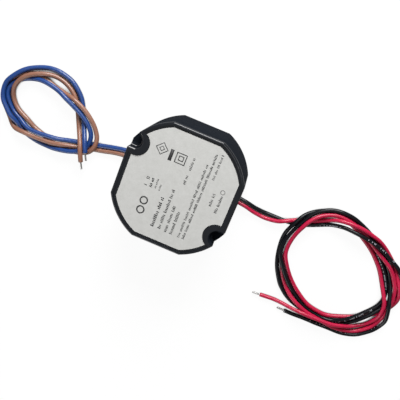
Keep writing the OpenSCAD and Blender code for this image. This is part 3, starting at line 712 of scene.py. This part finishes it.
# Colour, exit, route, diameter, the nodes the lead stands for and how far its bare end droops
LEADS = (
    ("blue", (-26, 1.5, 2.2), BLUE_ROUTE, MAINS_D, ("blue_lead", "mains_coil"), 0.3 * MM),
    ("brown", (-26, -1.5, 2.2), BROWN_ROUTE, MAINS_D, ("brown_lead",), 0.5 * MM),
    ("black", (26, 1, 2.2), BLACK_ROUTE, OUTPUT_D, ("black_lead", "output_coil"), 0.2 * MM),
    ("red", (26, -1, 2.2), RED_ROUTE, OUTPUT_D, ("red_lead", "red_lead_end"), 0.2 * MM))

for lead in LEADS:
    make_lead(*lead)


# Housing

RIM_RADIUS = 0.6 * MM
EDGE_SHARE = 0.3
EDGE_SEGMENTS = 4
SHARP = np.radians(28)
FLAT = np.radians(0.2)
DOUBLE = 0.001 * MM
CLOSE = 0.05 * MM


def edge_weights(mesh):
    """Bevel weight of each edge: 1 along the outer rim and EDGE_SHARE on the rest."""
    corners = np.empty(len(mesh.vertices) * 3)
    mesh.vertices.foreach_get("co", corners)
    corners = corners.reshape(-1, 3)
    ends = np.empty(len(mesh.edges) * 2, dtype=int)
    mesh.edges.foreach_get("vertices", ends)
    off_middle = np.abs(corners[:, :2])
    past_flats = (off_middle - off_middle.max(axis=0)).max(axis=1)
    across = np.hypot(*off_middle.T)
    outside = np.maximum(past_flats, across - across.max()) > -CLOSE
    on_rim = outside & (corners[:, 2] > corners[:, 2].max() - CLOSE)
    return np.where(on_rim[ends.reshape(-1, 2)].all(axis=1), 1.0, EDGE_SHARE)


def rounded_copy(node_name, name, finish, radius):
    """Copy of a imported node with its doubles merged, its flats made whole and its sharp edges rounded."""
    work = bmesh.new()
    work.from_mesh(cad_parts[node_name].data)
    bmesh.ops.remove_doubles(work, verts=work.verts, dist=DOUBLE)
    bmesh.ops.dissolve_limit(work, angle_limit=FLAT, verts=work.verts, edges=work.edges)
    mesh = bpy.data.meshes.new(name)
    work.to_mesh(mesh)
    sharp = np.array([len(e.link_faces) == 2 and e.calc_face_angle() > SHARP for e in work.edges])
    work.free()
    weights = mesh.attributes.new("bevel_weight_edge", "FLOAT", "EDGE")
    weights.data.foreach_set("value", edge_weights(mesh) * sharp)
    piece = add_piece(name, mesh, finish)
    edge = piece.modifiers.new("rounded_edges", "BEVEL")
    edge.width = radius
    edge.segments = EDGE_SEGMENTS
    edge.limit_method = "WEIGHT"
    edge.harden_normals = True
    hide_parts(node_name)


rounded_copy("housing", "moulded_housing", "moulded", RIM_RADIUS)


# Steps inside the screw pockets

POCKET_PITCH_MM = 54
POCKET_ANGLE = np.radians(-29)
POCKET_AT_MM = POCKET_PITCH_MM / 2 * np.array((np.cos(POCKET_ANGLE), np.sin(POCKET_ANGLE)))
POCKET_RADIUS_MM = 3.8
POCKET_MOUTH_MM = 25.3
POCKET_ARC = np.radians((90, 250))
POCKET_ARC_POINTS = 41
POCKET_DRIFT_MM = 0.8
CREASE = np.radians(30)

# Profiles of the linings: inset from the pocket's wall and height over the rim. The slopes of about
# 40 degrees are the lips that catch the light; the rest is wall, ledge, and a back and foot sunk into the
# housing.
UPPER_STEP_MM = (
    (-0.1, -3.2), (-0.1, -0.12), (0.0, -0.14), (0.2, -0.26), (0.4, -0.42), (0.6, -0.63), (0.66, -0.8),
    (0.66, -2.3), (1.15, -2.38), (1.15, -3.2))
LOWER_STEP_MM = (
    (-0.1, -7.6), (-0.1, -2.46), (1.2, -2.46), (1.38, -2.61), (1.5, -2.78), (1.54, -2.95), (1.54, -7.6))


def pocket_step(name, turn, profile_mm, finish):
    """Lining of a pocket: its profile carried along the straight wall and round the inside.

    The round part starts POCKET_DRIFT_MM late and catches up with the pocket's wall, which draws out the
    straight part of the lips. Turn is 1 for the output pocket and -1 for the mains one, opposite it.
    """
    arc = np.linspace(*POCKET_ARC, POCKET_ARC_POINTS)
    outwards = np.column_stack((np.cos(arc), np.sin(arc)))
    drift = POCKET_DRIFT_MM * np.clip(2 - arc / (np.pi / 2), 0, 1)
    middles = POCKET_AT_MM - np.column_stack((drift, np.zeros_like(drift)))
    outwards = np.vstack((outwards[:1], outwards))
    middles = np.vstack(((POCKET_MOUTH_MM, POCKET_AT_MM[1]), middles))
    inset, height = np.array(profile_mm).T
    plan = turn * (middles[:, None] + (POCKET_RADIUS_MM - inset)[:, None] * outwards[:, None])
    points = np.dstack((plan * MM, np.broadcast_to(RIM_TOP + height * MM, plan.shape[:2])))
    rows, columns = plan.shape[:2]
    sides = grid_faces(rows, columns).reshape(-1, 4)
    ends = np.arange(columns), rows * columns - 1 - np.arange(columns)
    piece = new_piece(name, points.reshape(-1, 3), [*sides, *ends], finish)
    piece.data.set_sharp_from_angle(angle=CREASE)


pocket_step("pocket_upper_step_output", 1, UPPER_STEP_MM, "shaded")
pocket_step("pocket_lower_step_output", 1, LOWER_STEP_MM, "shaded")
pocket_step("pocket_upper_step_mains", -1, UPPER_STEP_MM, "moulded")
pocket_step("pocket_lower_step_mains", -1, LOWER_STEP_MM, "pocket")


# Print on the label

LABEL_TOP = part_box("rating_label")[1].z
INK_THICK = 0.012 * MM


def block_points(centres, sizes):
    """Eight corners of each flat block, from its centre and its size along X and Y, standing on the label."""
    sign = np.array([(-1, -1), (1, -1), (1, 1), (-1, 1)]) / 2
    plan = centres[:, None] + sign * sizes[:, None]
    heights = np.array((LABEL_TOP, LABEL_TOP + INK_THICK))
    points = np.empty((len(centres), 2, 4, 3))
    points[..., :2] = plan[:, None]
    points[..., 2] = heights[None, :, None]
    return points.reshape(-1, 3)


def block_faces(count):
    """Six faces for each set of eight corners."""
    one = np.array([(0, 3, 2, 1), (4, 5, 6, 7), (0, 1, 5, 4), (1, 2, 6, 5), (2, 3, 7, 6), (3, 0, 4, 7)])
    return (np.arange(count)[:, None, None] * 8 + one).reshape(-1, 4)


# Rows that stand for lines of print: x of the row, y where it starts and ends, then height and weight of
# its marks
PRINT_ROWS_MM = (
    (-10.9, -3.1, 1.1, 1.1, 0.5), (-8.8, -2.9, 1.6, 0.8, 0.22), (-6.9, -3.2, 0.2, 0.8, 0.22),
    (-4.3, -19.1, -5.1, 1.5, 0.3), (-1.1, -18.9, -0.2, 1.3, 0.28), (1.8, -19.2, -6.7, 1.3, 0.28),
    (4.4, -19.2, -8.4, 1.3, 0.28), (8.0, -19.2, 15.3, 1.1, 0.26), (10.1, -19.1, 21.4, 1.1, 0.26),
    (12.6, 10.0, 21.5, 1.0, 0.24), (1.9, 3.6, 7.8, 1.2, 0.28), (2.0, 10.0, 15.8, 1.2, 0.28),
    (15.3, -0.9, 5.0, 1.2, 0.24), (18.6, -2.8, 5.2, 1.2, 0.24))

# Plain bars: x and y of the middle, size along x and y
PRINT_BARS_MM = (
    (-7.5, 13.2, 1.5, 5.0), (-13.1, -2.9, 1.4, 0.35), (-13.0, 0.0, 1.4, 0.35), (-13.0, 0.7, 1.4, 0.35))

# Marks of a row: their sizes are shares of the row's height or of their pitch
PRINT_SEED = 11
MARK_PITCH = 0.55
GROUP_FROM, GROUP_BELOW = 3, 10
TALL_CHANCE = 0.4
LOW_MARK = 0.72
MARK_WIDTH = 0.38
MARK_WIDTH_SPREAD = 0.3
WIDTH_WITHOUT_WEIGHT = 0.8


def row_blocks(row, chance):
    """Small upright blocks along a row, in groups of three to nine with a space after each group."""
    x, start, end, height, weight = row
    count = int((end - start) / (MARK_PITCH * height)) + 1
    pitch = (end - start) / count
    at = start + (np.arange(count) + 0.5) * pitch
    spaces = np.cumsum(chance.integers(GROUP_FROM, GROUP_BELOW, count)) + np.arange(count)
    kept = ~np.isin(np.arange(count), spaces)
    tall = np.where(chance.random(count) < TALL_CHANCE, 1.0, LOW_MARK) * height
    wide = pitch * (MARK_WIDTH + MARK_WIDTH_SPREAD * chance.random(count)) * (WIDTH_WITHOUT_WEIGHT + weight)
    centres = np.stack((x + (height - tall) / 2, at), axis=1)
    return centres[kept], np.stack((tall, wide), axis=1)[kept]


def make_print():
    """All rows of blocks and the bars in one mesh."""
    chance = np.random.default_rng(PRINT_SEED)
    row_centres, row_sizes = zip(*[row_blocks(row, chance) for row in PRINT_ROWS_MM])
    bars = np.array(PRINT_BARS_MM)
    centres = np.vstack((*row_centres, bars[:, :2])) * MM
    sizes = np.vstack((*row_sizes, bars[:, 2:])) * MM
    new_piece("print_rows", block_points(centres, sizes), block_faces(len(centres)), "ink")


def band(name, centre_mm, outer_mm, inner_mm, corners, turn=0.5):
    """Flat ring on the label, round or with corners, whose sides lie inner_mm to outer_mm from its middle."""
    angle = (np.arange(corners) + turn) * 2 * np.pi / corners
    outline = np.stack((np.cos(angle), np.sin(angle)), axis=1) / np.cos(np.pi / corners)
    low, high = LABEL_TOP, LABEL_TOP + INK_THICK
    rings = [np.column_stack(((np.array(centre_mm) + size * outline) * MM, np.full(corners, height)))
             for size, height in ((inner_mm, low), (outer_mm, low), (outer_mm, high), (inner_mm, high))]
    faces = grid_faces(len(rings) + 1, corners) % (len(rings) * corners)
    new_piece(name, np.vstack(rings), faces.reshape(-1, 4), "ink")


make_print()
band("square_outer", (-3.1, 13.2), 2.35, 1.95, 4)
band("square_inner", (-3.0, 13.3), 1.15, 0.78, 4)
band("diamond_outer", (-11.9, 14.3), 2.0, 1.68, 4, 0.0)
band("diamond_inner", (-11.9, 14.3), 0.9, 0.6, 4, 0.0)
band("ring_mark_a", (-11.4, -14.0), 1.85, 1.25, 40)
band("ring_mark_b", (-11.4, -9.6), 1.85, 1.25, 40)
band("ring_mark_small", (18.4, 6.8), 1.0, 0.8, 28)


# Stage and light

FLOOR_HALF = 3.0
FLOOR_TOP = -0.06 * MM
FLOOR_PALE = 0.1
FLOOR_GLOW = 0.93
# Width of the gaps whose glow fades, and the occlusion that turns them dark or leaves them white: painted
# shade in the gaps.
GAP_WIDTH = 3 * MM
GAP_DARK = 0.25
GAP_WHITE = 0.5
MIRRORED_SHARE = 0.35
WORLD_LIGHT = 0.06
WORLD_WHITE = 0.96
LAMP_AIM = Vector((0, 0, 0.01))


def seen_directly(tree):
    """1 for what the camera sees, less for what gloss and glass show, and 0 for the light on the object."""
    path = put(tree, "ShaderNodeLightPath")
    mirrored = calc(tree, "MAXIMUM", path.outputs["Is Glossy Ray"], path.outputs["Is Transmission Ray"])
    dimmed = calc(tree, "MULTIPLY", mirrored, MIRRORED_SHARE)
    return calc(tree, "MAXIMUM", path.outputs["Is Camera Ray"], dimmed)


def make_floor():
    """Wide pale floor whose shadows stay, and whose glow fades in the narrow gaps between things on it:
    painted shade in those gaps.
    """
    sides = ((-1, -1), (1, -1), (1, 1), (-1, 1))
    corners = [(x * FLOOR_HALF, y * FLOOR_HALF, FLOOR_TOP) for x, y in sides]
    mesh = bpy.data.meshes.new("floor")
    mesh.from_pydata(corners, [], [range(len(corners))])
    made = bpy.data.materials.new("floor_white")
    tree = empty_tree(made)
    plain = put(tree, "ShaderNodeBsdfDiffuse", {"Color": (FLOOR_PALE, FLOOR_PALE, FLOOR_PALE, 1)})
    # Ambient occlusion takes the glow out of narrow gaps, which paints shade between the leads and where they
    # touch the floor.
    opened = put(tree, "ShaderNodeAmbientOcclusion", {"Distance": GAP_WIDTH}).outputs["AO"]
    full = ramp(tree, opened, GAP_DARK, GAP_WHITE, 0.0, FLOOR_GLOW)
    glow = put(tree, "ShaderNodeEmission", {"Strength": calc(tree, "MULTIPLY", seen_directly(tree), full)})
    both = put(tree, "ShaderNodeAddShader", {0: plain.outputs[0], 1: glow.outputs[0]})
    put(tree, "ShaderNodeOutputMaterial", {"Surface": both.outputs[0]})
    mesh.materials.append(made)
    floor = add_object("floor", mesh)


def make_world():
    """Even pale surroundings, seen as white by the camera."""
    world = bpy.data.worlds.new("studio")
    scene.world = world
    tree = empty_tree(world)
    strength = ramp(tree, seen_directly(tree), 0, 1, WORLD_LIGHT, WORLD_WHITE)
    sky = put(tree, "ShaderNodeBackground", {"Color": (1, 1, 1, 1), "Strength": strength})
    put(tree, "ShaderNodeOutputWorld", {"Surface": sky.outputs[0]})


def softbox(name, at, width, height, watts):
    """Rectangular lamp at a place, turned towards the object."""
    data = bpy.data.lights.new(name, "AREA")
    data.shape = "RECTANGLE"
    data.size, data.size_y, data.energy = width, height, watts
    lamp = add_object(name, data)
    lamp.location = at
    lamp.rotation_euler = (LAMP_AIM - Vector(at)).to_track_quat("-Z", "Y").to_euler()


make_floor()
make_world()
softbox("key_softbox", (-0.03, 0.50, 0.27), width=0.34, height=0.32, watts=4.6)
softbox("top_softbox", (0.05, 0.15, 0.6), width=0.3, height=0.3, watts=0.4)
softbox("fill_softbox", (-0.15, -0.5, 0.25), width=0.5, height=0.25, watts=1.4)
scene.view_settings.view_transform = "Standard"
